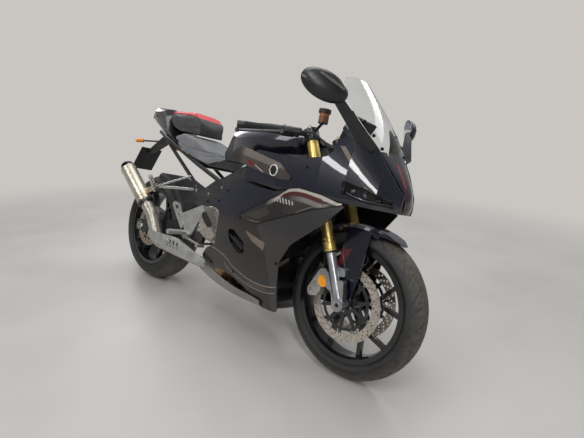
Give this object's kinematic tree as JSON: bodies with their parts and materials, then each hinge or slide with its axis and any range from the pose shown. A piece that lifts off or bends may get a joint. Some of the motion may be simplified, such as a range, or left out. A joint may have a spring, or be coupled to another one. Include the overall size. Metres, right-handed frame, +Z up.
{
  "type": "sport bike",
  "caption": "Faired sport bike with a gold upside-down fork, tall clear screen and slanted silencer, parked on its side stand.",
  "frame": {"origin": "centre of the footprint box, on the ground", "axes": "+X towards the front of the machine, +Y to the rider's left, +Z up"},
  "size_m": [2.0834, 0.8344, 1.1684],
  "materials": {
    "tyre_rubber": "moulded rubber, matt",
    "black_alloy": "satin black powder coat on cast aluminium",
    "disc_steel": "ground stainless steel",
    "gold_anodised": "gold anodised, polished",
    "hard_chrome": "hard chrome",
    "silver_alloy": "cast and bead blasted",
    "grey_paint": "dark grey satin paint on ABS",
    "navy_paint": "dark navy gloss paint on ABS",
    "silver_paint": "warm silver satin paint",
    "black_plastic": "moulded black plastic",
    "grip_rubber": "ribbed rubber",
    "hose_rubber": "smooth rubber hose",
    "amber": "amber reflector lens",
    "clear_screen": "clear acrylic",
    "lamp_lens": "clear polycarbonate lens",
    "red_lens": "red lamp lens",
    "grey_vinyl": "grey grained seat cover",
    "black_vinyl": "black grained seat cover",
    "titanium": "brushed titanium",
    "header_steel": "heat-tinted stainless steel",
    "frame_grey": "dark grey paint on cast aluminium",
    "engine_black": "black engine paint",
    "cover_silver": "silver engine paint",
    "chain_steel": "oiled steel chain",
    "mirror_shell": "gloss black shell"
  },
  "bodies": {
    "chassis": {"main_frame": "frame_grey", "swingarm": "black_alloy", "rear_axle": "silver_alloy", "rear_caliper": "silver_alloy", "rear_shock": "black_alloy", "chain": "chain_steel", "engine": "engine_black", "engine_covers": "cover_silver", "radiator": "black_plastic", "headers": "header_steel", "mid_pipe": "titanium", "silencer": "titanium", "exhaust_shield": "silver_alloy", "side_fairings": "grey_paint", "shoulder_panels": "silver_paint", "flank_panels": "navy_paint", "belly_pan": "silver_paint", "cowl_stay": "black_alloy", "upper_cowl": "navy_paint", "nose": "navy_paint", "windscreen": "clear_screen", "headlamps": "black_plastic", "lamp_lenses": "lamp_lens", "instruments": "black_plastic", "tank": "navy_paint", "tank_covers": "silver_paint", "rider_seat": "grey_vinyl", "pillion_seat": "black_vinyl", "tail": "black_plastic", "tail_lamp": "red_lens", "subframe": "black_alloy", "plate_hanger": "black_plastic", "hugger": "black_plastic", "mirrors": "mirror_shell", "footrests": "silver_alloy", "passenger_rests": "silver_alloy"},
    "steering": {"fork_tubes": "gold_anodised", "fork_legs": "hard_chrome", "yokes": "black_alloy", "clip_ons": "black_alloy", "grips": "grip_rubber", "switch_housings": "black_plastic", "levers": "silver_alloy", "brake_reservoir": "black_plastic", "front_mudguard": "navy_paint", "front_axle": "silver_alloy", "front_calipers": "silver_alloy", "reflectors": "amber", "brake_hoses": "hose_rubber"},
    "front_wheel": {"front_tyre": "tyre_rubber", "front_rim": "black_alloy", "front_discs": "disc_steel", "front_carriers": "black_alloy"},
    "rear_wheel": {"rear_tyre": "tyre_rubber", "rear_rim": "black_alloy", "rear_disc": "disc_steel", "rear_sprocket": "chain_steel"},
    "side_stand": {"side_stand": "black_alloy"}
  },
  "joints": [
    {"name": "steering", "type": "hinge", "parent": "chassis", "child": "steering", "pos_m": [0.46749, -0.03334, 0.81392], "axis": [-0.4141, 0.2047, 0.8869], "range_deg": [-25, 25]},
    {"name": "front_wheel_spin", "type": "hinge", "parent": "steering", "child": "front_wheel", "pos_m": [0.74326, -0.15336, 0.29387], "axis": [-0.0001, 0.9744, -0.225], "continuous": true},
    {"name": "rear_wheel_spin", "type": "hinge", "parent": "chassis", "child": "rear_wheel", "pos_m": [-0.67673, -0.14931, 0.31236], "axis": [-0.0001, 0.9744, -0.225], "continuous": true},
    {"name": "side_stand_fold", "type": "hinge", "parent": "chassis", "child": "side_stand", "pos_m": [-0.06478, -0.01635, 0.22994], "axis": [0.1817, 0.8411, 0.5095], "range_deg": [0, 95]}
  ]
}
